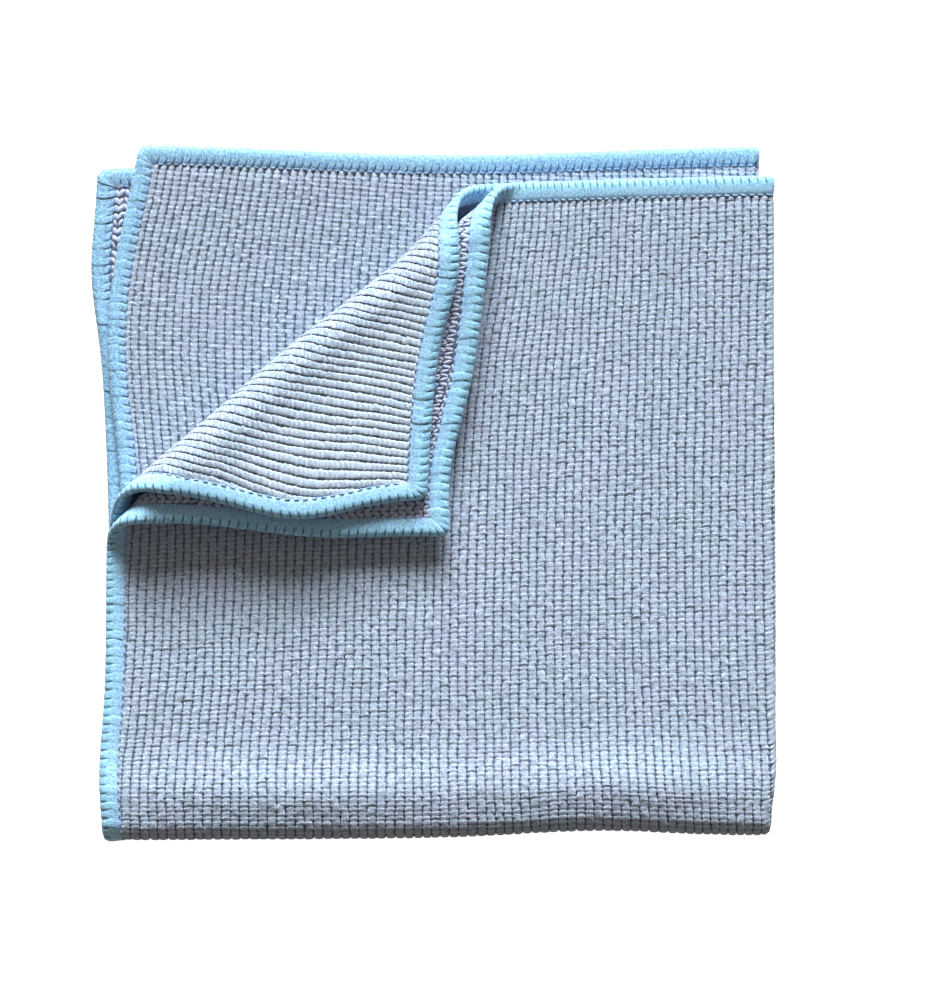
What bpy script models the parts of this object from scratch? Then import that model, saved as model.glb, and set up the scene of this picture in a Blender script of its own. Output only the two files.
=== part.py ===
"""A ribbed microfibre cloth with an overlocked edge, folded in quarters, the loose corner of its two
upper layers turned back over a soft roll.

The sheet is worked out flat, in u and v from its centre, with w across its thickness. Each fold rolls
what lies past a line over half a turn and lays it back, so the layers stay one sheet. From the table up
they are lower_outer, lower_inner, upper_inner and upper_outer.
"""
import math
from collections import namedtuple

import bmesh
import bpy
import numpy as np

MM = 0.001

# The cloth as it is sewn
SHEET_HALF = 200 * MM
CLOTH_THICKNESS = 1.8 * MM
EDGING_WIDTH = 5.9 * MM
EDGING_THICKNESS = 2.6 * MM
EDGING_CORNER = 3.2 * MM
SEAM_GAP = 0.3 * MM

# The two square folds: the first lies at the right, the second towards the viewer
LAYER_PITCH = 3.0 * MM
RIGHT_FOLD_X = 97.7 * MM
NEAR_FOLD_Y = -96.5 * MM
SECOND_FOLD_V = -5.0 * MM

# The corner that is turned back
CREASE_ANGLE = math.radians(43)
CREASE_START = 52.6 * MM
CREASE_ROLL = 5.0 * MM
FLAP_LENGTH = 60 * MM
FLAP_SAG = 4.5 * MM

# Where the whole lies, so that its box is centred on the origin
CENTRE = (-1.29 * MM, -0.55 * MM)

# Cells between the folds, and steps round each bend
QUARTER_CELLS = 14
FIRST_BEND_STEPS = 6
SECOND_BEND_STEPS = 8
CREASE_STEPS = 6
CORNER_STEPS = 4

# How far each layer has slid, in mm: at the end of its top edge by the right fold, at the end of its left
# edge by the near fold, at its loose corner, and once more there in the turned-back flap
Layer = namedtuple("Layer", "inner upper fold_top fold_left corner flap")
LAYERS = {
    "lower_outer": Layer(0, 0, (-4.8, 0.3), (2.2, -1.2), (-0.8, -5.8), (0, 0)),
    "lower_inner": Layer(1, 0, (-4.8, -3.9), (3.5, -1.2), (13.8, -3.3), (0, 0)),
    "upper_inner": Layer(1, 1, (-0.9, -3.4), (3.5, -1.2), (3.4, -8.2), (5.6, 5.4)),
    "upper_outer": Layer(0, 1, (-0.9, 1.4), (2.2, -1.2), (3.4, -3.5), (6.0, 0.6)),
}

# Bows and waves: the place is a share of the way from the right fold to the left edge (across) and from
# the near fold to the top edge (along), with the spread as shares too, and the push in mm
Wave = namedtuple("Wave", "layers across along spread_across spread_along push")
LOWER, UPPER = ("lower_outer", "lower_inner"), ("upper_inner", "upper_outer")
WAVES = (
    Wave(("lower_outer",), 1.0, 0.84, 0.40, 0.10, (-2.5, 0.0, 0.0)),
    Wave(("lower_outer",), 1.0, 0.45, 0.40, 0.25, (1.6, 0.0, 0.0)),
    Wave(("lower_inner",), 1.0, 0.74, 0.40, 0.22, (-8.5, 0.0, 0.0)),
    Wave(("lower_inner",), 0.5, 1.00, 0.35, 0.20, (0.0, -3.0, 0.0)),
    Wave(("upper_inner",), 1.0, 0.81, 0.12, 0.105, (0.0, -6.0, 0.8)),
    Wave(("upper_inner",), 1.0, 0.58, 0.12, 0.10, (0.0, 1.6, 1.2)),
    Wave(("upper_inner",), 0.6, 1.00, 0.25, 0.30, (2.8, 0.0, 0.0)),
    Wave(("upper_inner",), 0.62, 1.00, 0.10, 0.30, (4.6, 0.0, 0.0)),
    Wave(("upper_outer",), 0.5, 1.00, 0.22, 0.25, (8.5, 0.0, 0.0)),
    Wave(("upper_outer",), 0.75, 1.0, 0.14, 0.25, (2.5, 0.0, 0.0)),
    Wave(("upper_outer",), 0.90, 1.0, 0.10, 0.20, (-2.2, 0.0, 0.0)),
    Wave(("upper_outer",), 1.0, 0.80, 0.30, 0.12, (0.0, -2.2, 0.0)),
    Wave(("upper_outer",), 1.0, 0.48, 0.15, 0.08, (0.0, -1.9, 0.0)),
    Wave(("upper_outer",), 1.0, 0.08, 0.30, 0.10, (-1.6, 0.0, 0.0)),
    Wave(LOWER + UPPER, 0.26, 0.0, 0.16, 0.08, (0.0, 1.9, 0.0)),
    Wave(LOWER + UPPER, 0.0, 0.0, 0.06, 0.05, (-1.5, 0.2, 0.0)),
)

# Where the stack is puffed up: place and spread in mm, and the rise as a share of the height
Puff = namedtuple("Puff", "x y spread_x spread_y rise")
PUFFS = (
    Puff(60, -88, 40, 10, 0.20),
    Puff(-40, -89, 60, 8, 0.12),
)

# The overlocked border across its width, from the cloth outwards: half its thickness, as a share
BORDER_PROFILE = ((0.0, 0.62), (0.2, 0.95), (0.6, 1.0), (0.88, 0.75), (1.0, 0.3))

# Base colour (linear), roughness and metallic value
FINISHES = {
    "cloth": ((0.38, 0.45, 0.55), 0.95, 0.0),
    "edging": ((0.27, 0.60, 0.82), 0.7, 0.0),
}

FIRST_BEND = math.pi * LAYER_PITCH / 4
FAR_AXIS = LAYER_PITCH * 1.5
CREASE_HEADING = np.array([-math.sin(CREASE_ANGLE), math.cos(CREASE_ANGLE)])
CLOTH_HALF = SHEET_HALF - EDGING_WIDTH - SEAM_GAP


def hill(distance, spread):
    """A smooth rise of one that falls off with the distance."""
    return np.exp(-((distance / spread) ** 2))


def roll_over(points, mids, heading, start, axis_height, active):
    """Rolls what lies past the line heading . (x, y) = start half a turn over an axis at axis_height, and
    lays the rest back. mids are the same places on the middle of the cloth, which sets how far each has
    turned. Returns how far past the bend each place lies."""
    past = mids[:, :2] @ heading - start
    radius = axis_height - mids[:, 2]
    turn = np.clip(past / radius, 0, math.pi)
    beyond = np.maximum(past - math.pi * radius, 0)
    moved = active & (past > 0)
    offset = (points[:, :2] - mids[:, :2]) @ heading
    for place, ahead in ((points, offset + beyond), (mids, beyond)):
        below = axis_height - place[:, 2]
        reach = start + np.sin(turn) * below + np.cos(turn) * ahead
        height = axis_height - np.cos(turn) * below + np.sin(turn) * ahead
        shift = np.where(moved, reach - place[:, :2] @ heading, 0)
        place[:, :2] += shift[:, None] * heading
        place[:, 2] = np.where(moved, height, place[:, 2])
    return np.where(moved, beyond, 0)


def fold_in_quarters(u, v, w):
    """The two square folds, each layer slid a little on its own. Returns the points, the same places on
    the cloth's middle, their shares across and along, and how much each belongs to each layer."""
    everywhere = np.full(u.shape, True)
    mids = np.stack([u + RIGHT_FOLD_X + FIRST_BEND, v, 0 * u], axis=1)
    points = mids + np.stack([0 * u, 0 * u, w], axis=1)
    roll_over(points, mids, np.array([1.0, 0.0]), RIGHT_FOLD_X, LAYER_PITCH / 2, everywhere)
    inner = np.clip(mids[:, 2] / LAYER_PITCH, 0, 1)
    across = np.clip((np.abs(u) - FIRST_BEND) / (SHEET_HALF - FIRST_BEND), 0, 1)

    bend = math.pi * (FAR_AXIS - mids[:, 2]) / 2
    from_fold = v - SECOND_FOLD_V
    length = SHEET_HALF - np.sign(from_fold) * SECOND_FOLD_V
    along = np.clip((np.abs(from_fold) - bend) / (length - bend), 0, 1)
    upper = (1 + np.sin(np.clip(-from_fold / bend, -1, 1) * math.pi / 2)) / 2
    for place in (points, mids):
        place[:, 1] += NEAR_FOLD_Y - SECOND_FOLD_V - bend
    roll_over(points, mids, np.array([0.0, -1.0]), -NEAR_FOLD_Y, FAR_AXIS, everywhere)

    shares = {}
    for name, layer in LAYERS.items():
        shares[name] = np.abs(1 - layer.inner - inner) * np.abs(1 - layer.upper - upper)
        slide = (
            np.outer((1 - across) * along, layer.fold_top)
            + np.outer(across * (1 - along), layer.fold_left)
            + np.outer(across * along, layer.corner)
        )
        for place in (points, mids):
            place[:, :2] += slide * shares[name][:, None] * MM
    return points, mids, across, along, shares


def fold_sheet(u, v, w):
    """Where the sheet's points (u, v, w) lie once it is folded and its loose corner turned back."""
    points, mids, across, along, shares = fold_in_quarters(u, v, w)
    on_top = shares["upper_inner"] + shares["upper_outer"] > 0.999
    crease_axis = 3 * LAYER_PITCH + CREASE_ROLL
    beyond = roll_over(points, mids, CREASE_HEADING, CREASE_START, crease_axis, on_top)

    flap = np.clip(beyond / FLAP_LENGTH, 0, 1.2)
    settle = np.outer(-np.sin(flap * math.pi / 2), [0, 0, FLAP_SAG])
    for name, layer in LAYERS.items():
        settle[:, :2] += np.outer(flap * shares[name], layer.flap) * MM
    for wave in WAVES:
        near = hill(across - wave.across, wave.spread_across) * hill(along - wave.along, wave.spread_along)
        settle += np.outer(near * sum(shares[name] for name in wave.layers), wave.push) * MM
    for puff in PUFFS:
        near_x = hill(mids[:, 0] - puff.x * MM, puff.spread_x * MM)
        near_y = hill(mids[:, 1] - puff.y * MM, puff.spread_y * MM)
        settle[:, 2] += mids[:, 2] * puff.rise * near_x * near_y
    settle += [-CENTRE[0], -CENTRE[1], CLOTH_THICKNESS / 2]
    points += settle
    points[:, 2] = np.maximum(points[:, 2], 0)
    return points


def crease_lines(side):
    """Where the turned-back corner bends, on the flat upper quarter of one side (-1 or 1): the lines
    gradient . (u, v) = one of levels."""
    places = np.array([[side * 60, -120], [side * 120, -60], [side * 120, -120]]) * MM
    mids = fold_in_quarters(places[:, 0], places[:, 1], np.zeros(3))[1]
    past = mids[:, :2] @ CREASE_HEADING - CREASE_START
    *gradient, offset = np.linalg.solve(np.column_stack([places, np.ones(3)]), past)
    radius = CREASE_ROLL + (LAYER_PITCH if side > 0 else 0)
    return np.array(gradient), np.linspace(0, math.pi * radius, CREASE_STEPS + 1) - offset


def lines_over_bend(half, bend_middle, bend, steps):
    """Grid lines from -half to half: even cells, with even steps round the bend."""
    return np.concatenate([
        np.linspace(-half, bend_middle - bend, QUARTER_CELLS + 1)[:-1],
        np.linspace(bend_middle - bend, bend_middle + bend, steps + 1),
        np.linspace(bend_middle + bend, half, QUARTER_CELLS + 1)[1:],
    ])


def second_bend(u):
    """Half the length of cloth in the second fold's bend: the inner layer's is the shorter one."""
    inner = (1 + np.sin(np.clip(u / FIRST_BEND, -1, 1) * math.pi / 2)) / 2
    return math.pi * (FAR_AXIS - inner * LAYER_PITCH) / 2


def lift_to_folds(bm):
    """Moves every vertex from its place on the flat sheet to its place in the folded one. The faces are
    turned outwards while it is still flat."""
    bmesh.ops.recalc_face_normals(bm, faces=bm.faces)
    flat = np.array([vert.co for vert in bm.verts])
    for vert, place in zip(bm.verts, fold_sheet(*flat.T)):
        vert.co = place


def make_cloth():
    """A flat slab of the knit, cut where it will bend, then folded."""
    bm = bmesh.new()
    columns = lines_over_bend(CLOTH_HALF, 0, FIRST_BEND, FIRST_BEND_STEPS)
    grid = [
        [
            bm.verts.new((u, v, 0))
            for v in lines_over_bend(CLOTH_HALF, SECOND_FOLD_V, second_bend(u), SECOND_BEND_STEPS)
        ]
        for u in columns
    ]
    for left, right in zip(grid, grid[1:]):
        for near, far in zip(range(len(left)), range(1, len(left))):
            bm.faces.new((left[near], right[near], right[far], left[far]))

    for side in (-1, 1):
        gradient, levels = crease_lines(side)
        for level in levels:
            quarter = [
                face for face in bm.faces
                if face.calc_center_median().x * side > FIRST_BEND
                and face.calc_center_median().y < SECOND_FOLD_V - second_bend(side * CLOTH_HALF)
            ]
            edges = {edge for face in quarter for edge in face.edges}
            verts = {vert for face in quarter for vert in face.verts}
            bmesh.ops.bisect_plane(
                bm,
                geom=[*verts, *edges, *quarter],
                dist=0.1 * MM,
                plane_co=(*(gradient * level / (gradient @ gradient)), 0),
                plane_no=(*gradient, 0),
            )

    bmesh.ops.triangulate(bm, faces=bm.faces)
    copied = bmesh.ops.duplicate(bm, geom=[*bm.verts, *bm.edges, *bm.faces])["geom"]
    under = [item for item in copied if isinstance(item, bmesh.types.BMFace)]
    bmesh.ops.reverse_faces(bm, faces=under)
    lower = {vert for face in under for vert in face.verts}
    for vert in bm.verts:
        vert.co.z = CLOTH_THICKNESS / 2 * (-1 if vert in lower else 1)
    rims = [edge for edge in bm.edges if edge.is_boundary]
    bmesh.ops.bridge_loops(bm, edges=rims)
    lift_to_folds(bm)
    return bm


def border_side(edge_sign, is_row):
    """Stations along one side of the border, in rising order: where each meets the inner and the outer
    outline. Over the crease they run along its bend lines."""
    if is_row:
        lines = lines_over_bend(CLOTH_HALF, 0, FIRST_BEND, FIRST_BEND_STEPS)
        sides = (-1, 1) if edge_sign < 0 else ()
    else:
        bend = second_bend(edge_sign * CLOTH_HALF)
        lines = lines_over_bend(CLOTH_HALF, SECOND_FOLD_V, bend, SECOND_BEND_STEPS)
        sides = (edge_sign,)
    stations = [(line, line) for line in lines[1:-1]]
    outlines = np.array([CLOTH_HALF + SEAM_GAP, SHEET_HALF]) * edge_sign
    for side in sides:
        gradient, levels = crease_lines(side)
        run, rise = gradient if is_row else gradient[::-1]
        bends = [tuple((level - rise * outlines) / run) for level in levels]
        low, high = np.min(bends) - 2 * MM, np.max(bends) + 2 * MM
        stations = [pair for pair in stations if not low < pair[0] < high] + bends
    return sorted(stations)


def border_stations():
    """(u, v) on the inner and the outer outline, all the way round the border."""
    inner_outline = CLOTH_HALF + SEAM_GAP
    arc_centre = SHEET_HALF - EDGING_CORNER
    stations = []
    sides = ((-1, True, 1), (1, False, 1), (1, True, -1), (-1, False, -1))
    corners = ((1, -1), (1, 1), (-1, 1), (-1, -1))
    for number, ((edge_sign, is_row, direction), corner) in enumerate(zip(sides, corners)):
        for inner, outer in border_side(edge_sign, is_row)[::direction]:
            pair = ((inner, inner_outline * edge_sign), (outer, SHEET_HALF * edge_sign))
            stations.append(pair if is_row else tuple(place[::-1] for place in pair))
        for step in range(CORNER_STEPS + 1):
            angle = math.pi / 2 * (number - 1 + step / CORNER_STEPS)
            ray = np.array([math.cos(angle), math.sin(angle)])
            inner = CLOTH_HALF * np.array(corner) + SEAM_GAP * ray
            outer = arc_centre * np.array(corner) + EDGING_CORNER * ray
            stations.append((tuple(inner), tuple(outer)))
    return np.array(stations)


def make_edging():
    """The border's rounded section carried round the sheet's edge as a closed loop, then folded."""
    over = [(share, half) for share, half in BORDER_PROFILE]
    section = over + [(share, -half) for share, half in reversed(over)]
    bm = bmesh.new()
    rings = [
        [
            bm.verts.new((*(inner + (outer - inner) * share), half * EDGING_THICKNESS / 2))
            for share, half in section
        ]
        for inner, outer in border_stations()
    ]
    for ring, following in zip(rings, rings[1:] + rings[:1]):
        for one in range(len(ring)):
            other = (one + 1) % len(ring)
            bm.faces.new((ring[one], following[one], following[other], ring[other]))
    bmesh.ops.triangulate(bm, faces=bm.faces)
    lift_to_folds(bm)
    return bm


def add_object(name, bm):
    """Puts the mesh in the scene under its own name, with its own material."""
    mesh = bpy.data.meshes.new(name)
    bm.to_mesh(mesh)
    bm.free()
    mesh.shade_smooth()
    mesh.set_sharp_from_angle(angle=math.radians(60))
    colour, roughness, metallic = FINISHES[name]
    material = bpy.data.materials.new(name)
    material.use_nodes = True
    shader = material.node_tree.nodes["Principled BSDF"]
    shader.inputs["Base Color"].default_value = (*colour, 1)
    shader.inputs["Roughness"].default_value = roughness
    shader.inputs["Metallic"].default_value = metallic
    mesh.materials.append(material)
    bpy.context.collection.objects.link(bpy.data.objects.new(name, mesh))


def main():
    for obj in list(bpy.data.objects):
        bpy.data.objects.remove(obj, do_unlink=True)
    add_object("cloth", make_cloth())
    add_object("edging", make_edging())


main()
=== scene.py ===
import math

import bpy
import numpy as np
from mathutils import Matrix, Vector


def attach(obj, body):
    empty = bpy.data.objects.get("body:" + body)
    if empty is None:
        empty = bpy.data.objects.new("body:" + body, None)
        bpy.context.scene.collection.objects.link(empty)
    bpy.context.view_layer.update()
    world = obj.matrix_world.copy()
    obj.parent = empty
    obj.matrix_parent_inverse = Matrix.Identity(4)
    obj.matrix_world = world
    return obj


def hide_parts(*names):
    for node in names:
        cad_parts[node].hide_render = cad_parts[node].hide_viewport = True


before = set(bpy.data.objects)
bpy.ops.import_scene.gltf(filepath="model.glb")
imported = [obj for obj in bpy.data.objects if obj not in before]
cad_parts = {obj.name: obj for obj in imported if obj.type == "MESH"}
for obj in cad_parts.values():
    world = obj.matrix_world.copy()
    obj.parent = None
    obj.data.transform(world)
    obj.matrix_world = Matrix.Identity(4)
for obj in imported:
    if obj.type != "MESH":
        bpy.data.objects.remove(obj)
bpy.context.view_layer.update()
print("frame loaded")

mm = 0.001  # shapes are worked out in millimetres and turned to metres in addPiece

# the folded sheet: u and v lie flat from its centre and w goes through it, as in the CAD
fold = {
    "sheetHalf": 200.0,
    "clothThickness": 1.8,
    "layerPitch": 3.0,
    "rightFoldX": 97.7,
    "nearFoldY": -96.5,
    "secondFoldV": -5.0,
    "creaseAngle": 43.0,
    "creaseStart": 52.6,
    "creaseRoll": 5.0,
    "flapLength": 60.0,
    "flapSag": 4.5,
    "flapEnd": 1.2,  # where the flap stops settling, as a share of its length
    "centre": (-1.29, -0.55),
}
foldV = fold["secondFoldV"]
firstBend = math.pi * fold["layerPitch"] / 4
farAxis = fold["layerPitch"] * 1.5
creaseTurn = math.radians(fold["creaseAngle"])
creaseHeading = np.array([-math.sin(creaseTurn), math.cos(creaseTurn)])

# each layer: on the inner half or not, in the upper pair or not, and how far it has slid at the end of
# its top edge by the right fold, at the end of its left edge by the near fold, at its corner, and there
# once more in the turned-back flap
layers = {
    "lowerOuter": (0, 0, (-4.8, 0.3), (2.2, -1.2), (-0.8, -5.8), (0, 0)),
    "lowerInner": (1, 0, (-4.8, -3.9), (3.5, -1.2), (13.8, -3.3), (0, 0)),
    "upperInner": (1, 1, (-0.9, -3.4), (3.5, -1.2), (3.4, -8.2), (5.6, 5.4)),
    "upperOuter": (0, 1, (-0.9, 1.4), (2.2, -1.2), (3.4, -3.5), (6.0, 0.6)),
}

# bows and waves: layers, place across and along, spread across and along (shares), push
waves = [
    (("lowerOuter",), 1.0, 0.84, 0.40, 0.10, (-2.5, 0.0, 0.0)),
    (("lowerOuter",), 1.0, 0.45, 0.40, 0.25, (1.6, 0.0, 0.0)),
    (("lowerInner",), 1.0, 0.74, 0.40, 0.22, (-8.5, 0.0, 0.0)),
    (("lowerInner",), 0.5, 1.00, 0.35, 0.20, (0.0, -3.0, 0.0)),
    (("upperInner",), 1.0, 0.81, 0.12, 0.105, (0.0, -6.0, 0.8)),
    (("upperInner",), 1.0, 0.58, 0.12, 0.10, (0.0, 1.6, 1.2)),
    (("upperInner",), 0.6, 1.00, 0.25, 0.30, (2.8, 0.0, 0.0)),
    (("upperInner",), 0.62, 1.00, 0.10, 0.30, (4.6, 0.0, 0.0)),
    (("upperOuter",), 0.5, 1.00, 0.22, 0.25, (8.5, 0.0, 0.0)),
    (("upperOuter",), 0.75, 1.0, 0.14, 0.25, (2.5, 0.0, 0.0)),
    (("upperOuter",), 0.90, 1.0, 0.10, 0.20, (-2.2, 0.0, 0.0)),
    (("upperOuter",), 1.0, 0.80, 0.30, 0.12, (0.0, -2.2, 0.0)),
    (("upperOuter",), 1.0, 0.48, 0.15, 0.08, (0.0, -1.9, 0.0)),
    (("upperOuter",), 1.0, 0.08, 0.30, 0.10, (-1.6, 0.0, 0.0)),
    (tuple(layers), 0.26, 0.0, 0.16, 0.08, (0.0, 1.9, 0.0)),
    (tuple(layers), 0.0, 0.0, 0.06, 0.05, (-1.5, 0.2, 0.0)),
]

# where the stack is puffed up along the near fold: x, y, spread in x and y, rise as a share of the height
puffs = [
    (60, -88, 40, 10, 0.30),
    (-40, -89, 60, 9, 0.30),
]


def hill(distance, spread):
    # a smooth rise of one that falls off: e to the power of minus (distance / spread) squared
    return np.exp(-((distance / spread) ** 2))


def smoothStep(value, start, end):
    # nought before start, one past end, and 3 t t - 2 t t t between them
    t = np.clip((value - start) / (end - start), 0, 1)
    return t * t * (3 - 2 * t)


def drift(u, v, length, seed):
    # smooth unevenness from about -1 to 1: the sum of six plane waves about length apart, each with its
    # own heading, phase and length
    total = 0
    for heading, phase, stretch in np.random.default_rng(seed).uniform(0, 1, (6, 3)):
        pace = math.tau / (length * (0.7 + 0.6 * stretch))
        run = u * math.cos(heading * math.tau) + v * math.sin(heading * math.tau)
        total = total + np.sin(run * pace + phase * math.tau) / 3
    return total


def rollOver(points, mids, heading, start, axisHeight, active):
    # what lies past the line heading . (x, y) = start rolls half a turn over an axis at axisHeight, and
    # the rest lies back flat; the cloth's middle, mids, sets how far each place has turned
    past = mids[:, :2] @ heading - start
    radius = axisHeight - mids[:, 2]
    turn = np.clip(past / radius, 0, math.pi)
    beyond = np.maximum(past - math.pi * radius, 0)
    moved = active & (past > 0)
    offset = (points[:, :2] - mids[:, :2]) @ heading
    for place, ahead in ((points, offset + beyond), (mids, beyond)):
        below = axisHeight - place[:, 2]
        reach = start + np.sin(turn) * below + np.cos(turn) * ahead
        height = axisHeight - np.cos(turn) * below + np.sin(turn) * ahead
        shift = np.where(moved, reach - place[:, :2] @ heading, 0)
        place[:, :2] += shift[:, None] * heading
        place[:, 2] = np.where(moved, height, place[:, 2])
    return np.where(moved, beyond, 0)


def foldInQuarters(u, v, w):
    # the sheet rolls over the right fold, then over the near fold, and each layer slides a little, by
    # shares that grow evenly from the folds to its edges
    pitch = fold["layerPitch"]
    everywhere = np.full(u.shape, True)
    mids = np.stack([u + fold["rightFoldX"] + firstBend, v, 0 * u], axis=1)
    points = mids + np.stack([0 * u, 0 * u, w], axis=1)
    rollOver(points, mids, np.array([1.0, 0.0]), fold["rightFoldX"], pitch / 2, everywhere)
    inner = np.clip(mids[:, 2] / pitch, 0, 1)
    across = np.clip((np.abs(u) - firstBend) / (fold["sheetHalf"] - firstBend), 0, 1)

    bend = math.pi * (farAxis - mids[:, 2]) / 2
    fromFold = v - foldV
    length = fold["sheetHalf"] - np.sign(fromFold) * foldV
    along = np.clip((np.abs(fromFold) - bend) / (length - bend), 0, 1)
    upper = (1 + np.sin(np.clip(-fromFold / bend, -1, 1) * math.pi / 2)) / 2
    for place in (points, mids):
        place[:, 1] += fold["nearFoldY"] - foldV - bend
    rollOver(points, mids, np.array([0.0, -1.0]), -fold["nearFoldY"], farAxis, everywhere)

    shares = {}
    for name, (isInner, isUpper, foldTop, foldLeft, corner, _) in layers.items():
        shares[name] = np.abs(1 - isInner - inner) * np.abs(1 - isUpper - upper)
        slide = (
            np.outer((1 - across) * along, foldTop)
            + np.outer(across * (1 - along), foldLeft)
            + np.outer(across * along, corner)
        )
        for place in (points, mids):
            place[:, :2] += slide * shares[name][:, None]
    return points, mids, across, along, shares


def pastCrease(u, v):
    # how far a place of the flat sheet lies past the line where the loose corner turns back
    flat = foldInQuarters(np.ravel(u), np.ravel(v), np.zeros(np.size(u)))[1]
    return (flat[:, :2] @ creaseHeading - fold["creaseStart"]).reshape(np.shape(u))


def foldSheet(u, v, w):
    # places (u, v, w) of the flat sheet as they lie once it is folded, its corner turned back over a soft
    # roll, pushed by the waves and puffs, and held up by the table
    u, v, w = (np.ravel(a).astype(float) for a in np.broadcast_arrays(u, v, w))
    points, mids, across, along, shares = foldInQuarters(u, v, w)
    onTop = shares["upperInner"] + shares["upperOuter"] > 0.999
    creaseAxis = 3 * fold["layerPitch"] + fold["creaseRoll"]  # above the fourth layer's middle
    beyond = rollOver(points, mids, creaseHeading, fold["creaseStart"], creaseAxis, onTop)

    flap = np.clip(beyond / fold["flapLength"], 0, fold["flapEnd"])
    settle = np.outer(-np.sin(flap * math.pi / 2), [0, 0, fold["flapSag"]])
    for name, layer in layers.items():
        settle[:, :2] += np.outer(flap * shares[name], layer[5])
    for names, waveAcross, waveAlong, spreadAcross, spreadAlong, push in waves:
        near = hill(across - waveAcross, spreadAcross) * hill(along - waveAlong, spreadAlong)
        settle += np.outer(near * sum(shares[name] for name in names), push)
    for x, y, spreadX, spreadY, rise in puffs:
        settle[:, 2] += mids[:, 2] * rise * hill(mids[:, 0] - x, spreadX) * hill(mids[:, 1] - y, spreadY)
    points += settle + [-fold["centre"][0], -fold["centre"][1], fold["clothThickness"] / 2]
    points[:, 2] = np.maximum(points[:, 2], 0)
    return points


def addPiece(name, points, faces, uv, finish):
    # points in mm and closed quads become one smooth mesh with its own UV map; the faces are turned round
    # where their volume comes out negative, so that they point outwards
    used, faces = np.unique(faces, return_inverse=True)
    points, uv, faces = points[used] * mm, uv[used], faces.reshape(-1, 4)
    a, b, c, d = (points[faces[:, corner]] for corner in range(4))
    if np.sum(a * (np.cross(b, c) + np.cross(c, d))) < 0:
        faces = faces[:, ::-1]
    mesh = bpy.data.meshes.new(name)
    mesh.vertices.add(len(points))
    mesh.vertices.foreach_set("co", points.ravel())
    mesh.loops.add(faces.size)
    mesh.loops.foreach_set("vertex_index", faces.ravel())
    mesh.polygons.add(len(faces))
    mesh.polygons.foreach_set("loop_start", np.arange(0, faces.size, 4))
    mesh.update(calc_edges=True)
    mesh.uv_layers.new(name="knit").data.foreach_set("uv", uv[faces].astype(np.float32).ravel())
    mesh.materials.append(finish)
    mesh.shade_smooth()
    piece = bpy.data.objects.new(name, mesh)
    bpy.context.scene.collection.objects.link(piece)
    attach(piece, "root")
    print(name, 2 * len(faces), "triangles")
    return piece


def tubeFaces(kept, ring):
    # rings joined along each tube wherever both neighbours are kept, each run closed at both ends
    tubes, stations = kept.shape
    index = np.arange(tubes * stations * ring).reshape(tubes, stations, ring)
    joined = kept[:, :-1] & kept[:, 1:]
    here, there = index[:, :-1], index[:, 1:]
    sides = np.stack([here, there, np.roll(there, -1, 2), np.roll(here, -1, 2)], axis=-1)[joined]
    ahead = np.pad(joined, ((0, 0), (0, 1)))
    behind = np.pad(joined, ((0, 0), (1, 0)))
    rows = np.arange(ring // 2 - 1)
    strips = np.stack([rows, rows + 1, ring - 2 - rows, ring - 1 - rows], axis=-1)
    starts = index[ahead & ~behind][:, strips]
    ends = index[behind & ~ahead][:, strips[:, ::-1]]
    return np.concatenate([part.reshape(-1, 4) for part in (sides, starts, ends)])


def linear(hexColour):
    # sRGB hex to linear colour: the darkest values over 12.92, the others to the power of 2.4
    values = [int(hexColour[i:i + 2], 16) / 255 for i in (1, 3, 5)]
    return [x / 12.92 if x <= 0.04045 else ((x + 0.055) / 1.055) ** 2.4 for x in values] + [1]


def newMaterial(name, sockets):
    # a material with these values on its shader's own sockets; returns it and the shader
    material = bpy.data.materials.new(name)
    material.use_nodes = True
    shader = material.node_tree.nodes["Principled BSDF"]
    for socket, value in sockets.items():
        shader.inputs[socket].default_value = value
    return material, shader


def addNode(tree, kind, inputs, **settings):
    # a node with its settings, each input given a value or linked from a socket; returns the node
    made = tree.nodes.new("ShaderNode" + kind)
    for setting, value in settings.items():
        setattr(made, setting, value)
    for socket, value in inputs.items():
        if isinstance(value, bpy.types.NodeSocket):
            tree.links.new(value, made.inputs[socket])
        else:
            made.inputs[socket].default_value = value
    return made


# where a value starts and ends, and what a shade weighs at the one and at the other
rangeSockets = ("From Min", "From Max", "To Min", "To Max")

# brushed warp-knit microfibre: split fibres make it matt and silky; shade is painted dark where ribs and
# stitches meet and in the fibres' hollows, with painted highlights on raised fibres; the fibres are too fine
# to show, so they are drawn as tufts about half a millimetre across
ribFinish = {
    "body": "#9CB3C6",
    "tint": "#A3B1CA",
    # painted shade over the turned-back corner's roll
    "rollPaintedShade": "#94A9C0",
    # painted highlight on raised fibres
    "glint": "#DAE7F4",
    # painted shade in the grooves, the seams and the fibres' pits
    "paintedShade": "#55647E",
    "sockets": {"Roughness": 0.9, "Sheen Weight": 0.2, "Sheen Roughness": 0.5, "Specular IOR Level": 0.15},
    "tints": (0.45, 0.65, 0.0, 1.0),  # by the patches' noise
    "tintSize": 14.0 * mm,
    # painted highlights on raised fibres
    "glints": (0.42, 0.72, 0.0, 1.0),  # by the fibres' noise
    # painted shade in the fibres' hollows, and, by the next two rows, in the grooves between ribs and the
    # seams between stitches
    "pits": (0.42, 0.25, 0.0, 0.4),
    "groove": (0.38, 0.5, 0.0, 0.42),  # from a rib's middle to its edge
    "seam": (0.34, 0.5, 0.0, 1.0),  # from a stitch's middle to its end
    "seamWeight": (0.3, 0.65),
    "fibresAcross": 2.4,
    "fibresAlong": 3.4,
    "fibreTurn": 0.1,
    "fibreRelief": 0.14 * mm,
    "fuzzSize": mm / 2.4,
    "fuzzRelief": 0.08 * mm,
}


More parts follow.
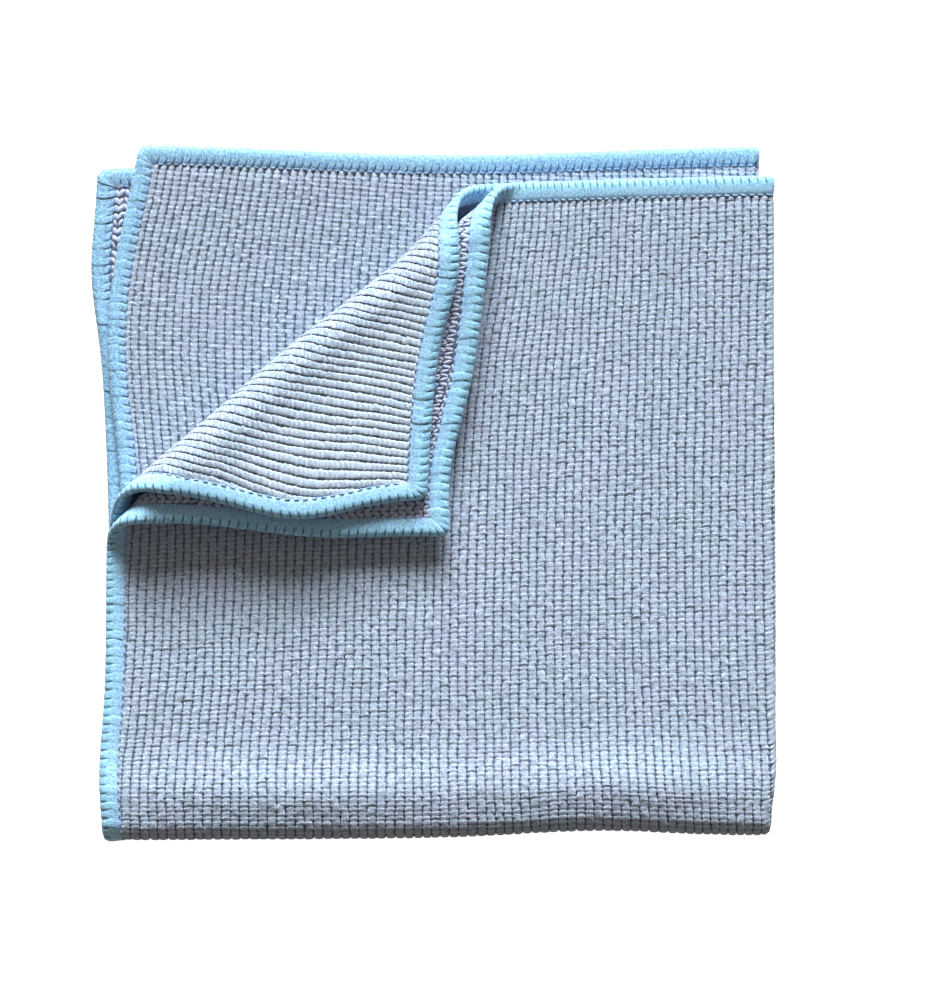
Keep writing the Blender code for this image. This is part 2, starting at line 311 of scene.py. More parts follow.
def brushedMicrofibre(name, roll=None, **changes):
    # the body's colour, tinted in patches, with painted shade over the roll, painted highlights on raised
    # fibres, and painted shade in the larger of the fibres' pits and the sum of groove and seam
    values = {**ribFinish, **changes}
    material, shader = newMaterial(name, values["sockets"])
    tree = material.node_tree

    # the map counts ribs across and stitches along, so its whole part names a stitch
    place = addNode(tree, "UVMap", {}, uv_map="knit").outputs[0]
    axes = addNode(tree, "SeparateXYZ", {0: place}).outputs
    stitch = addNode(tree, "VectorMath", {0: place}, operation="FLOOR").outputs[0]
    chance = addNode(tree, "TexWhiteNoise", {"Vector": stitch}, noise_dimensions="2D").outputs["Value"]
    counts = (values["fibresAcross"], values["fibresAlong"], 1)
    turned = {"Vector": place, "Scale": counts, "Rotation": (0, 0, values["fibreTurn"])}
    fibrePlace = addNode(tree, "Mapping", turned).outputs[0]
    settings = {"Vector": fibrePlace, "Scale": 1.0, "Detail": 3.0, "Distortion": 1.1}
    fibres = addNode(tree, "TexNoise", settings, noise_dimensions="2D").outputs[0]
    solid = addNode(tree, "TexCoord", {}).outputs["Object"]
    settings = {"Vector": solid, "Scale": 1 / values["fuzzSize"], "Detail": 2.0}
    fuzz = addNode(tree, "TexNoise", settings).outputs[0]
    settings = {"Vector": solid, "Scale": 1 / values["tintSize"], "Detail": 2.0}
    patches = addNode(tree, "TexNoise", settings).outputs[0]

    weights = {}
    for shade, source in (("tints", patches), ("glints", fibres), ("pits", fibres)):
        inputs = {"Value": source, **dict(zip(rangeSockets, values[shade]))}
        weights[shade] = addNode(tree, "MapRange", inputs).outputs[0]
    for shade, source in (("groove", axes[0]), ("seam", axes[1])):
        part = addNode(tree, "Math", {0: source}, operation="FRACT").outputs[0]
        part = addNode(tree, "Math", {0: part, 1: 0.5}, operation="SUBTRACT").outputs[0]
        part = addNode(tree, "Math", {0: part}, operation="ABSOLUTE").outputs[0]
        inputs = {"Value": part, **dict(zip(rangeSockets, values[shade]))}
        weights[shade] = addNode(tree, "MapRange", inputs, interpolation_type="SMOOTHSTEP").outputs[0]
    inputs = {"Value": chance, **dict(zip(rangeSockets, (0.0, 1.0, *values["seamWeight"])))}
    chance = addNode(tree, "MapRange", inputs).outputs[0]
    # painted shade: the seam's weight, by chance, added to the groove's, or the fibres' pits where darker
    seam = addNode(tree, "Math", {0: weights["seam"], 1: chance}, operation="MULTIPLY").outputs[0]
    dark = addNode(tree, "Math", {0: weights["groove"], 1: seam}, operation="ADD", use_clamp=True).outputs[0]
    dark = addNode(tree, "Math", {0: dark, 1: weights["pits"]}, operation="MAXIMUM").outputs[0]

    # the colours: random tint, painted highlights on raised fibres, painted shade in grooves, seams and pits
    shades = [(weights["tints"], "tint"), (weights["glints"], "glint"), (dark, "paintedShade")]
    # painted shade over the roll, only for the turned-back corner
    if roll is not None:
        # how far a place lies past the crease's line, in the folded cloth, which sets the painted shade over
        # the roll
        ahead = {0: solid, 1: (*creaseHeading, 0)}
        ahead = addNode(tree, "VectorMath", ahead, operation="DOT_PRODUCT").outputs["Value"]
        line = (fold["creaseStart"] - creaseHeading @ fold["centre"]) * mm
        inputs = {"Value": ahead, "From Min": line + roll[0], "From Max": line + roll[1]}
        rollShadeWeight = addNode(tree, "MapRange", inputs, interpolation_type="SMOOTHSTEP").outputs[0]
        shades.insert(1, (rollShadeWeight, "rollPaintedShade"))
    colour = linear(values["body"])
    for weight, shade in shades:
        inputs = {0: weight, 6: colour, 7: linear(values[shade])}
        colour = addNode(tree, "Mix", inputs, data_type="RGBA").outputs[2]
    tree.links.new(colour, shader.inputs["Base Color"])

    relief = {"Height": fibres, "Distance": values["fibreRelief"]}
    relief = addNode(tree, "Bump", relief).outputs[0]
    relief = {"Height": fuzz, "Distance": values["fuzzRelief"], "Normal": relief}
    relief = addNode(tree, "Bump", relief).outputs[0]
    tree.links.new(relief, shader.inputs["Normal"])
    return material


# texturised polyester overlock yarn: bulked filaments lie side by side, so it is satiny with fine lines;
# its many filaments are too fine to show, so they are drawn a few to a stitch
yarnFinish = {
    "body": "#92D1F3",
    # painted shade: the lower layers' hems are a darker copy of the same yarn
    "lower": "#7FB4DE",
    # painted shade, in violet, at the band's inner side
    "inner": "#9AB2E6",
    # painted shade at the rim, twice as strong on the lower layers
    "rim": "#72A6D2",
    # painted highlight on raised filaments
    "glint": "#B4E8F8",
    # painted shade in the slits between stitches and the filaments' pits
    "paintedShade": "#2B5A7E",
    "sockets": {"Roughness": 0.75, "Sheen Weight": 0.2},
    # painted shade in the slits, on the band's outer part and broken by the filaments, and in the filaments'
    # pits
    "slit": (0.37, 0.44, 0.0, 1.0),  # from a stitch's middle to its end
    "outerSlit": (0.54, 0.68, 0.05, 1.0),  # across the band's face
    "rimSlit": (1.0, 0.88, 0.35, 1.0),
    "brokenSlit": (0.25, 0.5, 0.0, 1.0),  # by the filaments' noise
    "pits": (0.46, 0.3, 0.0, 0.3),
    # painted highlights where the filaments' noise is high
    "glints": (0.4, 0.7, 0.0, 1.0),
    # painted shade in violet from the inner side, fading towards the rim
    "innerShade": (0.1, 0.6, 0.65, 0.0),  # from the band's inner side to its rim
    # painted shade towards the rim
    "rimShade": (0.66, 0.96, 0.0, 0.4),
    "filamentsPerStitch": 4.5,
    "filamentsAcross": 7.0,
    "filamentRelief": 0.11 * mm,
}


def overlockYarn(name, **changes):
    # the body's colour, with painted shade on the lower layers and at the rim, violet painted shade at the
    # inner side, painted highlights on raised filaments, and painted shade in the slits between stitches,
    # which show best on the band's outer part
    values = {**yarnFinish, **changes}
    material, shader = newMaterial(name, values["sockets"])
    tree = material.node_tree

    # the map counts stitches along, and across the band's lower and upper face from 0 to 2; on the lower
    # layers three more, so its rows past 2.5 are theirs, and the share of the width runs from the rim
    place = addNode(tree, "UVMap", {}, uv_map="knit").outputs[0]
    axes = addNode(tree, "SeparateXYZ", {0: place}).outputs
    across = addNode(tree, "Math", {0: axes[1], 1: 1.0}, operation="PINGPONG").outputs[0]
    # the lower layers' rows: they get painted shade, and their rim is counted from the other side
    lower = addNode(tree, "Math", {0: axes[1], 1: 2.5}, operation="GREATER_THAN").outputs[0]
    rimward = addNode(tree, "Math", {0: lower, 1: across}, operation="SUBTRACT").outputs[0]
    rimward = addNode(tree, "Math", {0: rimward}, operation="ABSOLUTE").outputs[0]
    part = addNode(tree, "Math", {0: axes[0]}, operation="FRACT").outputs[0]
    part = addNode(tree, "Math", {0: part, 1: 0.5}, operation="SUBTRACT").outputs[0]
    part = addNode(tree, "Math", {0: part}, operation="ABSOLUTE").outputs[0]
    counts = (values["filamentsPerStitch"], values["filamentsAcross"], 1)
    filamentPlace = addNode(tree, "Mapping", {"Vector": place, "Scale": counts}).outputs[0]
    settings = {"Vector": filamentPlace, "Scale": 1.0, "Detail": 3.0, "Distortion": 0.6}
    filaments = addNode(tree, "TexNoise", settings, noise_dimensions="2D").outputs[0]

    sources = {
        "slit": part,
        "outerSlit": across,
        "rimSlit": across,
        "brokenSlit": filaments,
        "pits": filaments,
        "glints": filaments,
        "innerShade": rimward,
        "rimShade": rimward,
    }
    weights = {}
    for shade, source in sources.items():
        inputs = {"Value": source, **dict(zip(rangeSockets, values[shade]))}
        weights[shade] = addNode(tree, "MapRange", inputs).outputs[0]
    slit = weights["slit"]
    for shade in ("outerSlit", "rimSlit", "brokenSlit"):
        slit = addNode(tree, "Math", {0: slit, 1: weights[shade]}, operation="MULTIPLY").outputs[0]
    slit = addNode(tree, "Math", {0: slit, 1: weights["pits"]}, operation="MAXIMUM").outputs[0]
    # painted shade at the rim, twice on the lower layers
    rim = {0: weights["rimShade"], 1: lower, 2: weights["rimShade"]}
    rim = addNode(tree, "Math", rim, operation="MULTIPLY_ADD").outputs[0]  # twice on the lower layers

    # the colours: body, painted shade on the lower layers, at the inner side and at the rim, painted
    # highlights, painted shade in the slits
    colour = linear(values["body"])
    shades = ((lower, "lower"), (weights["innerShade"], "inner"), (rim, "rim"))
    for weight, shade in (*shades, (weights["glints"], "glint"), (slit, "paintedShade")):
        inputs = {0: weight, 6: colour, 7: linear(values[shade])}
        colour = addNode(tree, "Mix", inputs, data_type="RGBA").outputs[2]
    tree.links.new(colour, shader.inputs["Base Color"])
    relief = {"Height": filaments, "Distance": values["filamentRelief"]}
    tree.links.new(addNode(tree, "Bump", relief).outputs[0], shader.inputs["Normal"])
    return material


# the turned-back corner, seen against its nap, is painted paler, a painted sheen on the same cloth, and its
# ribs part in dark lines of painted shade
flapPaintedLight = {
    # painted sheen: the same cloth's colour, painted paler
    "body": "#BAD2E7",
    "tint": "#C0D1E8",
    # painted shade in the lines between the flap's ribs
    "paintedShade": "#425066",
    "groove": (0.41, 0.5, 0.0, 1.0),
    "seamWeight": (0.05, 0.35),
    "pits": (0.42, 0.25, 0.0, 0.3),
    # where the painted shade over the roll starts and ends, from the crease's line
    "roll": (-14.0 * mm, 1.0 * mm),
    "fibresAcross": 1.9,
    "fibresAlong": 2.8,
    "fibreRelief": 0.2 * mm,
}
# the inner face's loops have no seams, and a tint of violet
innerFace = {
    "body": "#AEBAD8",
    "tint": "#B2B8D6",
    "groove": (0.49, 0.5, 0.0, 0.42),
    "seamWeight": (0.0, 0.0),
}
# the sheet between the ribs lies in their shade
groundShade = {"body": "#56637A", "tint": "#5D6B82", "glint": "#7C8BA3"}

knitTop = brushedMicrofibre("brushedMicrofibre")
knitFlap = brushedMicrofibre("brushedMicrofibreFlapPaintedLight", **flapPaintedLight)
knitBase = brushedMicrofibre("microfibreGround", **groundShade)
knitBack = brushedMicrofibre("microfibreBack", **innerFace)
yarn = overlockYarn("overlockYarn")
# the needle thread: its own mid blue, without violet painted shade at its inner side, and a paler painted
# highlight
thread = overlockYarn("needleThreadYarn", body="#7C9DC0", inner="#7C9DC0", glint="#9DBBD8")
print("materials ready")


knit = {
    "ribPitch": 2.70,
    "stitchPitch": 1.46,
    "ribFaceDepth": 0.96,
    "groundDepths": (-0.5, 0.75),
    "hemReach": 195.0,
    "offGrain": -0.028,
    "lowerOffGrain": 0.015,
    "lowerSoftness": 30.0,
    "flapLean": 0.0,
    "flapLeanStart": 110.0,
    "fanAtFold": 0.115,
    "fanFade": 0.0008,
    "fanReach": 60.0,
    "courseSlant": 0.01,
    "courseTwist": 0.035,
    "courseReach": 80.0,
    "drift": 0.2,
    "driftLength": 26.0,
}
# the turned-back corner's ribs are pulled closer and bend down towards its right hem
flapKnit = {**knit, "ribPitch": 2.36, "flapLean": 0.0014, "drift": 0.3, "driftLength": 17.0}


def knitPlace(rib, stitch, weave=knit):
    # where a place of the knit, counted in ribs and stitches, lies on the flat sheet: even ribs and
    # stitches that lean off the grain, fan out at the near fold and drift a little
    u = (rib + 0.5) * weave["ribPitch"]
    v = stitch * weave["stitchPitch"]
    fromFold = v - foldV
    soft = weave["lowerSoftness"]
    lean = weave["offGrain"] * fromFold
    lean = lean + weave["lowerOffGrain"] * (fromFold + np.sqrt(fromFold ** 2 + soft ** 2) - soft) / 2
    lean = lean + weave["flapLean"] * np.maximum(-fromFold - weave["flapLeanStart"], 0) ** 2
    reach = weave["fanReach"]
    lean = lean + (weave["fanAtFold"] - weave["fanFade"] * np.abs(u)) * reach * np.tanh(fromFold / reach)
    v = v + (weave["courseSlant"] + weave["courseTwist"] * np.tanh(fromFold / weave["courseReach"])) * u
    amount, length = weave["drift"], weave["driftLength"]
    return u + lean + amount * drift(u, v, length, 1), v + amount * drift(u, v, length, 2)


# how each stitch stands out: shares of a rib or stitch across and along, millimetres in height; a section
# gives a rib's share of the half width, and its height above or below the rib's face
ribShape = {
    "section": ((-1, -0.62), (-0.86, -0.14), (-0.36, 0.04), (0.36, 0.04), (0.86, -0.14), (1, -0.62)),
    "phases": (0.0, 0.24, 0.76),
    "weave": knit,
    "coverage": 0.97,
    "mapHalf": 0.48,
    "spread": 0.6,
    "weakSeams": 0.08,
    "weakSeam": 0.2,
    "seamStrength": (0.7, 0.3),
    "seamDepth": 0.10,
    "seamPinch": 0.26,
    "seamSlant": -0.03,
    "seamCurve": 0.2,
    "stitchJitter": 0.11,
    "sway": 0.06,
    "tilt": 0.05,
    "rise": 0.05,
    "hemPinch": 0.25,
    "hemPinchReach": 2.5,
}
# the turned-back corner's ribs are flatter, and their seams slant
relaxed = {
    "section": ((-1, -0.62), (-0.96, -0.13), (-0.55, 0.02), (0.55, 0.02), (0.96, -0.13), (1, -0.62)),
    "weave": flapKnit,
    "coverage": 0.98,
    "seamDepth": 0.13,
    "seamPinch": 0.17,
    "seamSlant": -0.12,
    "stitchJitter": 0.1,
    "sway": 0.05,
}
# the underside's ribs are plain, and lie just above the ends of the near fold's
plain = {
    "section": ((-1, -0.62), (-0.6, -0.16), (0.6, -0.16), (1, -0.62)),
    "phases": (0.5,),
}


def makeRibs(name, ribs, stitches, inside, finish, seed, **changes):
    # a raised tube for each rib, on the sheet's outer face; phase 0 of each stitch is the seam before
    # it, where the tube is pinched and lower; inside says which places are kept
    shape = {**ribShape, **changes}
    weave = shape["weave"]
    draw = np.random.default_rng(seed)
    rib = np.arange(*ribs)[:, None, None]
    stitch = np.arange(*stitches)[:, None]
    phase = np.array(shape["phases"])
    size = (rib.size, stitch.size, 1)
    chance = draw.uniform(0, 1, size)
    jitter, sway, tilt, rise = draw.normal(0, shape["spread"], (4, *size))
    atSeam = np.where(phase == 0, 1.0, 0.0)
    least, more = shape["seamStrength"]
    seam = atSeam * np.where(chance < shape["weakSeams"], shape["weakSeam"], least + more * chance)
    counted = stitch + phase
    course = counted + shape["stitchJitter"] * jitter * (0.5 + 0.5 * atSeam)  # half between seams
    kept = inside(*knitPlace(rib, course, weave)).reshape(rib.size, -1)
    whole = (rib.size, counted.size, 1)
    counted, course, seam, sway, tilt, rise = (
        np.broadcast_to(a, course.shape).reshape(whole) for a in (counted, course, seam, sway, tilt, rise)
    )

    share, height = np.array(shape["section"]).T
    halfWidth = shape["coverage"] / 2 * (1 - shape["seamPinch"] * seam)
    across = rib + share * halfWidth + shape["sway"] * sway
    course = course + shape["seamSlant"] * share + shape["seamCurve"] * (share ** 2 - 0.4)
    u, v = knitPlace(across, course, weave)
    hemGap = np.maximum(knit["hemReach"] - np.maximum(np.abs(u), np.abs(v)), 0)
    raised = shape["tilt"] * tilt * share + shape["rise"] * rise
    raised = raised - shape["seamDepth"] * seam - shape["hemPinch"] * hill(hemGap, shape["hemPinchReach"])
    lift = height + raised * (np.abs(share) < 1)
    points = foldSheet(u, v, -(knit["ribFaceDepth"] + lift))
    uv = np.stack([rib + 0.5 + shape["mapHalf"] * share + 0 * u, counted + 0 * u], axis=-1).reshape(-1, 2)
    return addPiece(name, points, tubeFaces(kept, len(share)), uv, finish)


# where each set of ribs starts and ends on the flat sheet, so that they meet with a little overlap
cover = {
    "topSplit": -97.0,
    "splitOverlap": 1.0,
    "rightEnd": firstBend + 0.6,
    "nearEnd": foldV + math.pi * farAxis / 2 + 2.5,
    "underStart": foldV + math.pi * farAxis / 2,
    "underRight": 0.15 - firstBend,
    "cornerStart": 60.0,
    "flapStart": -9.0,
    "lowerStart": 2.0,
    "lowerStrip": 172.0,
}


def onSheet(u, v, reach=knit["hemReach"]):
    # inside the hems
    return (np.abs(u) < reach) & (np.abs(v) < reach)


def topLeft(u, v):
    # the outer face from the left hem to the split, down round the near fold
    return onSheet(u, v) & (u < cover["topSplit"]) & (v < cover["nearEnd"])


def topRight(u, v):
    # the outer face from the split to the right fold, down round the near fold
    right = (u >= cover["topSplit"] - cover["splitOverlap"]) & (u < cover["rightEnd"])
    return onSheet(u, v) & right & (v < cover["nearEnd"])


def flapCorner(u, v):
    # the loose corner of the upper pair's inner layer, from just before the crease
    corner = (u > cover["cornerStart"]) & (v < -cover["cornerStart"])
    return onSheet(u, v) & corner & (pastCrease(u, v) > cover["flapStart"])


def lowerCorner(u, v):
    # the lower pair's top layer where it shows: its corner, a strip by its hem, and the right fold
    corner = (u > cover["cornerStart"]) & (pastCrease(u, v) > cover["lowerStart"])
    shown = corner | (v > cover["lowerStrip"]) | (u < cover["rightEnd"])
    return onSheet(u, v) & (u > -firstBend) & (v > foldV) & shown


def underside(u, v):
    # the outer face of the lowest layer
    return onSheet(u, v) & (u < cover["underRight"]) & (v > cover["underStart"])


ribs = [
    makeRibs("ribsTopLeft", (-84, -28), (-146, 10), topLeft, knitTop, 11),
    makeRibs("ribsTopRight", (-48, 6), (-146, 10), topRight, knitTop, 12),
    makeRibs("ribsFlap", (12, 88), (-146, -24), flapCorner, knitFlap, 13, **relaxed),
    makeRibs("ribsLower", (-6, 90), (-8, 148), lowerCorner, knitTop, 14),
    makeRibs("ribsUnder", (-84, 8), (-8, 148), underside, knitTop, 15, **plain),
]


backLoop = {
    "ribs": (-84, 0),
    "loops": (-90, 90),
    "hemReach": 194.8,
    "hemFade": 3.0,
    "heightAtHem": 0.2,
    "loopStitches": 1.6,
    "halfLength": 0.78,
    "stations": (-1.0, -0.5, 0.5, 1.0),
    "sizes": (0.4, 1.0, 1.0, 0.4),
    "lumpiness": 0.12,
    "aside": 0.24,
    "lean": 0.13,
    "wobbleAside": 0.3,
    "wobbleAlong": 0.12,
    "halfWidth": 0.25,
    "height": 0.5,
    "lift": 0.02,
    "creaseGap": 3.0,
    "hemStrip": -183.0,
    "leftStrip": -184.0,
}


def backCorner(u, v):
    # the inner face shows between the turned-back hems, and beside the lowest layer's left hem
    turned = (u < -cover["cornerStart"]) & (v < -cover["cornerStart"])
    turned = turned & (pastCrease(u, v) > backLoop["creaseGap"])
    turned = turned & ((u < backLoop["hemStrip"]) | (v < backLoop["hemStrip"]))
    beside = (u < backLoop["leftStrip"]) & (v > cover["cornerStart"])
    return onSheet(u, v, backLoop["hemReach"]) & (turned | beside)


def makeBackLoops():
    # the inner face: two plump loops side by side on each rib, leaning apart into a V, and sinking as
    # they come to the hem
    draw = np.random.default_rng(16)
    rib = np.arange(*backLoop["ribs"])[:, None, None]
    loop = np.arange(*backLoop["loops"])[:, None] * backLoop["loopStitches"]
    side = np.array([-1.0, 1.0])
    rib, loop, side = (a.ravel() for a in np.broadcast_arrays(rib, loop, side))
    kept = backCorner(*knitPlace(rib, loop))
    rib, loop, side = (a[kept][:, None, None] for a in (rib, loop, side))
    wobble, lump = draw.normal(0, 1, (2, *rib.shape))
    station = np.array(backLoop["stations"])[:, None]
    size = np.array(backLoop["sizes"])[:, None] * (1 + backLoop["lumpiness"] * lump)
    turn = np.arange(6) / 6 * math.tau
    across = side * (backLoop["aside"] + backLoop["lean"] * (station + backLoop["wobbleAside"] * wobble))
    across = rib + across + np.cos(turn) * backLoop["halfWidth"] * size
    along = loop + station * backLoop["halfLength"] + backLoop["wobbleAlong"] * wobble + 0 * across
    u, v = knitPlace(across, along)
    hemGap = backLoop["hemReach"] - np.maximum(np.abs(u), np.abs(v))
    least = backLoop["heightAtHem"]
    height = backLoop["height"] * (least + (1 - least) * smoothStep(hemGap, 0, backLoop["hemFade"]))
    w = knit["groundDepths"][1] + backLoop["lift"] + np.sin(turn) * height * size
    uv = np.stack([across + 0.5, along], axis=-1).reshape(-1, 2)
    faces = tubeFaces(np.full(u.shape[:2], True), len(turn))
    return addPiece("backLoops", foldSheet(u, v, w), faces, uv, knitBack)


ribs.append(makeBackLoops())
print("knit ready")


ground = {
    "half": 197.0,
    "cells": 62,
    "firstBendSteps": 6,
    "secondBendSteps": 8,
}


def linesOverBend(middle, bend, steps):
    # lines from one edge to the other: even cells, with even steps round the bend
    half, cells = ground["half"], ground["cells"]
    return np.concatenate([
        np.linspace(-half, middle - bend, cells + 1, axis=-1)[..., :-1],
        np.linspace(middle - bend, middle + bend, steps + 1, axis=-1),
        np.linspace(middle + bend, half, cells + 1, axis=-1)[..., 1:],
    ], axis=-1)


def makeGround():
    # the sheet that carries the ribs: a thin slab cut where it bends, then folded
    column = linesOverBend(0.0, firstBend, ground["firstBendSteps"])
    inner = (1 + np.sin(np.clip(column / firstBend, -1, 1) * math.pi / 2)) / 2
    bend = math.pi * (farAxis - inner * fold["layerPitch"]) / 2
    v = linesOverBend(foldV, bend, ground["secondBendSteps"])
    u = column[:, None] + 0 * v
    w = np.array(knit["groundDepths"])[:, None, None] + 0 * v
    u, v = u + 0 * w, v + 0 * w
    index = np.arange(w.size).reshape(w.shape)
    quads = np.stack([index[:, :-1, :-1], index[:, 1:, :-1], index[:, 1:, 1:], index[:, :-1, 1:]], axis=-1)
    sides = [index[:, :-1, 0], index[:, -1, :-1], index[:, :0:-1, -1], index[:, 0, :0:-1]]
    outline = np.concatenate(sides, axis=1)
    ahead = np.roll(outline, -1, axis=1)
    rim = np.stack([outline[0], ahead[0], ahead[1], outline[1]], axis=-1)
    faces = np.concatenate([quads[0].reshape(-1, 4)[:, ::-1], quads[1].reshape(-1, 4), rim])
    uv = np.stack([u / knit["ribPitch"], v / knit["stitchPitch"]], axis=-1).reshape(-1, 2)
    return addPiece("knitGround", foldSheet(u, v, w), faces, uv, knitBase)


knitGround = makeGround()


# the overlocked edge; its profile runs from the cloth outwards: share of the width, half the thickness
overlock = {
    "width": 6.0,
    "profile": (
        (-0.02, 0.5), (0.06, 0.92), (0.26, 1.10), (0.52, 1.25), (0.74, 1.30), (0.92, 0.95), (1.0, 0.0)
    ),
    "leastHalf": 0.3,
    "corner": 3.2,
    "stitches": 625,
    "phases": (0.0, 0.12, 0.3, 0.5, 0.7, 0.88),
    "phaseJitter": 0.035,
    "grooves": (1.0, 0.35, 0.0, 0.0, 0.0, 0.35),
    "grooveSpread": (0.35, 1.1),
    "grooveDepth": 0.03,
    "outerGrooveDepth": 0.26,
    "outerPart": (0.5, 0.78),
    "rimRecess": 0.2,
    "recessPart": (0.5, 1.0),
    "slant": 0.6,
    "slantLean": 0.4,
    "unevenness": 0.05,
}
overlockProfile = np.array(overlock["profile"])
straightSide = 2 * (fold["sheetHalf"] - overlock["corner"])
quarterLength = straightSide + overlock["corner"] * math.pi / 2
borderLength = 8 * (fold["sheetHalf"] - overlock["corner"]) + math.tau * overlock["corner"]
overlockPitch = borderLength / overlock["stitches"]


def borderPath(length):
    # the sheet's outline by its length: four straight sides joined by quarter circles; gives the place on
    # the outline and the direction outwards
    corner = overlock["corner"]
    side = np.floor(length / quarterLength)
    run = length - side * quarterLength
    turn = np.maximum(run - straightSide, 0) / corner
    outX, outY = np.sin(turn), -np.cos(turn)
    x = np.minimum(run, straightSide) - straightSide / 2 + corner * outX
    y = -straightSide / 2 + corner * outY
    cos, sin = np.cos(side * math.pi / 2), np.sin(side * math.pi / 2)
    place = np.stack([x * cos - y * sin, x * sin + y * cos], axis=-1)
    return place, np.stack([outX * cos - outY * sin, outX * sin + outY * cos], axis=-1)


def makeOverlock():
    # a rounded section carried round the outline: each stitch bulges, with a groove before it that is
    # deepest at the rim
    draw = np.random.default_rng(21)
    count, phases = overlock["stitches"], len(overlock["phases"])
    stitch = np.arange(count)[:, None]
    jitter = draw.normal(0, overlock["phaseJitter"], (count, 1))
    stitch = (stitch + overlock["phases"] + jitter).reshape(-1, 1)
    groove = np.tile(overlock["grooves"], count)[:, None]
    groove = groove * np.repeat(draw.uniform(*overlock["grooveSpread"], (count, 1)), phases, axis=0)
    bulge = np.repeat(draw.normal(0, 1, (count, 1)), phases, axis=0) * overlock["unevenness"]

    inner = overlockProfile[:-1]
    share = np.concatenate([overlockProfile[:, 0], inner[::-1, 0]])
    height = np.concatenate([-overlockProfile[:, 1], inner[::-1, 1]])
    bow = overlock["slant"] * (np.sin(share * math.pi) + overlock["slantLean"] * (share - 0.5))
    length = (stitch * overlockPitch + bow) % borderLength
    place, out = borderPath(length)
    lower = place[:, :1, 1] > foldV  # on the lower layers the stitches are tight at the inner side instead
    outward = smoothStep(np.where(lower, 1 - share, share), *overlock["outerPart"])
    innerEdge = fold["sheetHalf"] - overlock["width"]
    deepest = np.clip(place - out * overlock["width"], -innerEdge, innerEdge)
    recess = overlock["rimRecess"] * groove * smoothStep(share, *overlock["recessPart"]) / overlock["width"]
    place = deepest + (place - deepest) * (share - recess)[..., None]
    depth = groove * (overlock["grooveDepth"] + overlock["outerGrooveDepth"] * outward)
    least = np.minimum(np.abs(height), overlock["leastHalf"])
    thick = np.sign(height) * np.maximum(np.abs(height) * (1 + bulge) - depth, least)
    points = foldSheet(place[..., 0], place[..., 1], thick)

    ring = len(share)
    index = np.arange(len(stitch) * ring).reshape(-1, ring)
    ahead = np.roll(index, -1, axis=0)
    faces = np.stack([index, ahead, np.roll(ahead, -1, 1), np.roll(index, -1, 1)], axis=-1).reshape(-1, 4)
    acrossBand = np.concatenate([overlockProfile[:, 0], 2 - inner[::-1, 0]])
    uv = np.stack([stitch + 0 * share, acrossBand + 3 * lower], axis=-1).reshape(-1, 2)
    return addPiece("overlock", points, faces, uv, yarn)


needle = {
    "inset": -0.25,
    "stations": (-1.0, -0.6, 0.6, 1.0),
    "sizes": (0.35, 1.0, 1.0, 0.35),
    "halfLength": 0.85,
    "halfWidth": 0.28,
    "height": 0.18,
    "faceDepth": 0.96,
    "endDip": 0.12,
    "swing": 0.12,
    "mapRow": 0.2,
    "cornerGap": 4.5,
}


def makeNeedleThread():
    # the needle's stitches along the band's inner side, one for each overlock stitch on both faces: a
    # short tube that thins to its ends
    draw = np.random.default_rng(22)
    middle = (np.arange(overlock["stitches"]) + 0.5) * overlockPitch
    run = middle % quarterLength
    middle = middle[(run > needle["cornerGap"]) & (run < straightSide - needle["cornerGap"])]
    middle = np.concatenate([middle, middle])[:, None, None]
    face = np.repeat([-1.0, 1.0], len(middle) // 2)[:, None, None]
    station = np.array(needle["stations"])[:, None]
    size = np.array(needle["sizes"])[:, None]
    turn = np.arange(6) / 6 * math.tau
    swing = draw.normal(0, needle["swing"], middle.shape)
    aside = np.cos(turn) * needle["halfWidth"] * size + needle["inset"] + swing * station
    length = (middle + station * needle["halfLength"] * (1 + 0.5 * swing)) % borderLength + 0 * aside
    place, out = borderPath(length)
    place = place - out * (overlock["width"] + aside)[..., None]
    lift = needle["faceDepth"] + np.sin(turn) * needle["height"] * size - needle["endDip"] * (size < 1)
    points = foldSheet(place[..., 0], place[..., 1], face * lift)
    uv = np.stack([length / overlockPitch, needle["mapRow"] + 0 * length], axis=-1).reshape(-1, 2)
    faces = tubeFaces(np.full(length.shape[:2], True), len(turn))
    return addPiece("needleThread", points, faces, uv, thread)


band = makeOverlock()
needleThread = makeNeedleThread()
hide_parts("cloth")
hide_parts("edging")
print("edge ready")


# metres for the floor and the key light, millimetres for the camera
studio = {
    "floorSize": 4.0,
    "floorDrop": 0.05 * mm,
    "floorColour": "#F4F4F4",
    "floorRoughness": 0.95,
    "floorGlow": 0.95,
    "ambient": 0.2,
    "ambientColour": "#FFEFE2",
    "keyColour": "#F7FAFF",
    "keyEnergy": 14.2,
    "keyWidth": 1.5,
    "keyHeight": 0.6,
    "keyDistance": 1.7,
    "keyElevation": 25.5,
    "keyAzimuth": 92.0,
    "keySpread": 47.0,
    "keyAim": (-0.08, -1.10),
    "mmPerPixel": 0.297,
    "pictureHeight": 1000,
    "pictureCentre": (9.90, -2.12),
    "cameraHeight": 1000.0,
}


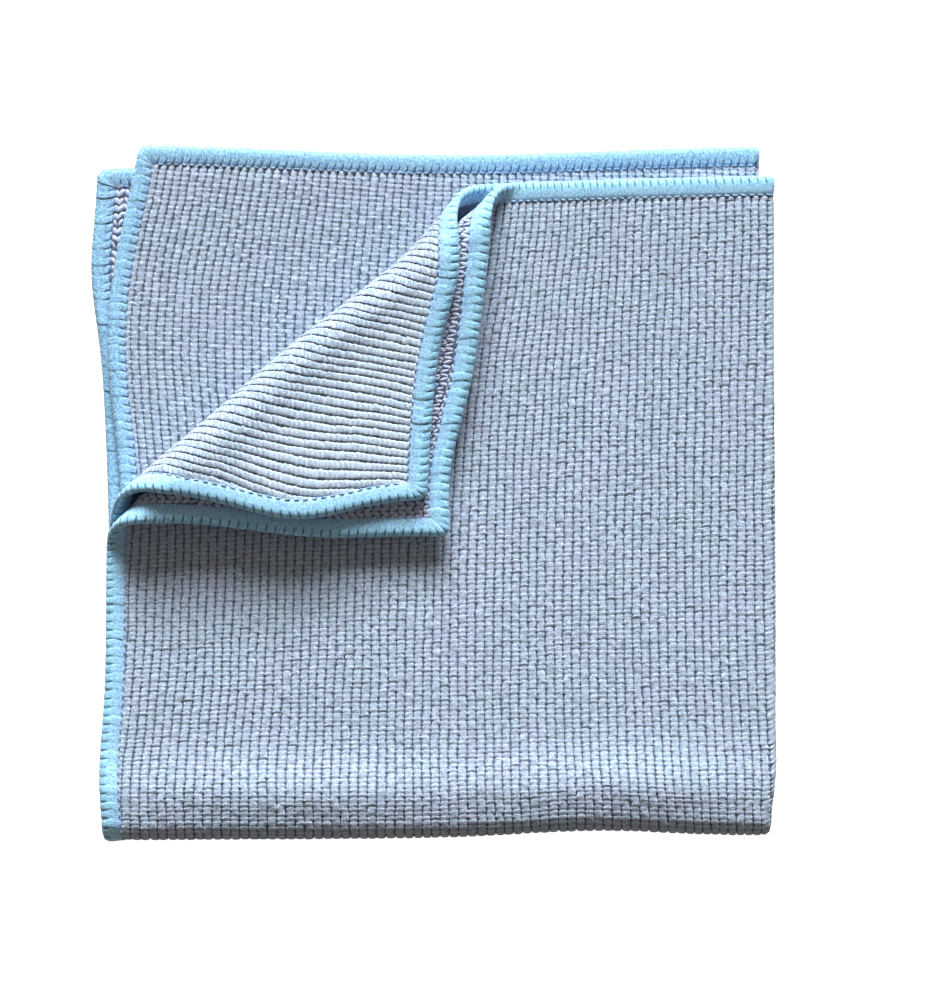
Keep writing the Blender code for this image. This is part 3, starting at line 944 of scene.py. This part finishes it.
def makeStudio():
    # matt white paper lit to near white, a warm dim room, a wide low key from the picture's top that is
    # aimed past the cloth, so its light fades less down the picture, and a camera straight above
    scene = bpy.context.scene
    scene.view_settings.view_transform = "Standard"
    paper, _ = newMaterial("paperSweep", {
        "Base Color": linear(studio["floorColour"]),
        "Roughness": studio["floorRoughness"],
        "Emission Color": linear("#FFFFFF"),
        "Emission Strength": studio["floorGlow"],
    })
    mesh = bpy.data.meshes.new("floor")
    corners = np.array([(-1, -1), (1, -1), (1, 1), (-1, 1)]) * studio["floorSize"] / 2
    corners = np.pad(corners, ((0, 0), (0, 1)), constant_values=-studio["floorDrop"])
    mesh.from_pydata(corners.tolist(), [], [(0, 1, 2, 3)])
    mesh.materials.append(paper)
    floor = bpy.data.objects.new("floor", mesh)
    floor.visible_diffuse = False  # its glow doesn't light the cloth
    scene.collection.objects.link(floor)

    world = bpy.data.worlds.new("softRoom")
    scene.world = world
    world.use_nodes = True
    background = world.node_tree.nodes["Background"]
    background.inputs["Color"].default_value = linear(studio["ambientColour"])
    background.inputs["Strength"].default_value = studio["ambient"]

    key = bpy.data.lights.new("softKey", "AREA")
    key.color = linear(studio["keyColour"])[:3]
    key.shape = "RECTANGLE"
    key.energy = studio["keyEnergy"]
    key.spread = math.radians(studio["keySpread"])
    key.size = studio["keyWidth"]
    key.size_y = studio["keyHeight"]
    elevation, azimuth = math.radians(studio["keyElevation"]), math.radians(studio["keyAzimuth"])
    flatReach = studio["keyDistance"] * math.cos(elevation)
    spot = Vector((flatReach * math.cos(azimuth), flatReach * math.sin(azimuth), 0))
    spot.z = studio["keyDistance"] * math.sin(elevation)
    lamp = bpy.data.objects.new("softKey", key)
    lamp.location = spot
    lamp.rotation_euler = (spot - Vector((*studio["keyAim"], 0))).to_track_quat("Z", "Y").to_euler()
    scene.collection.objects.link(lamp)

    lens = bpy.data.cameras.new("straightDown")
    longSide = studio["pictureHeight"] * studio["mmPerPixel"]
    lens.lens = lens.sensor_width * studio["cameraHeight"] / longSide
    camera = bpy.data.objects.new("straightDown", lens)
    x, y = studio["pictureCentre"]
    camera.location = (x * mm, y * mm, studio["cameraHeight"] * mm)
    scene.collection.objects.link(camera)
    scene.camera = camera


makeStudio()
print("studio ready")
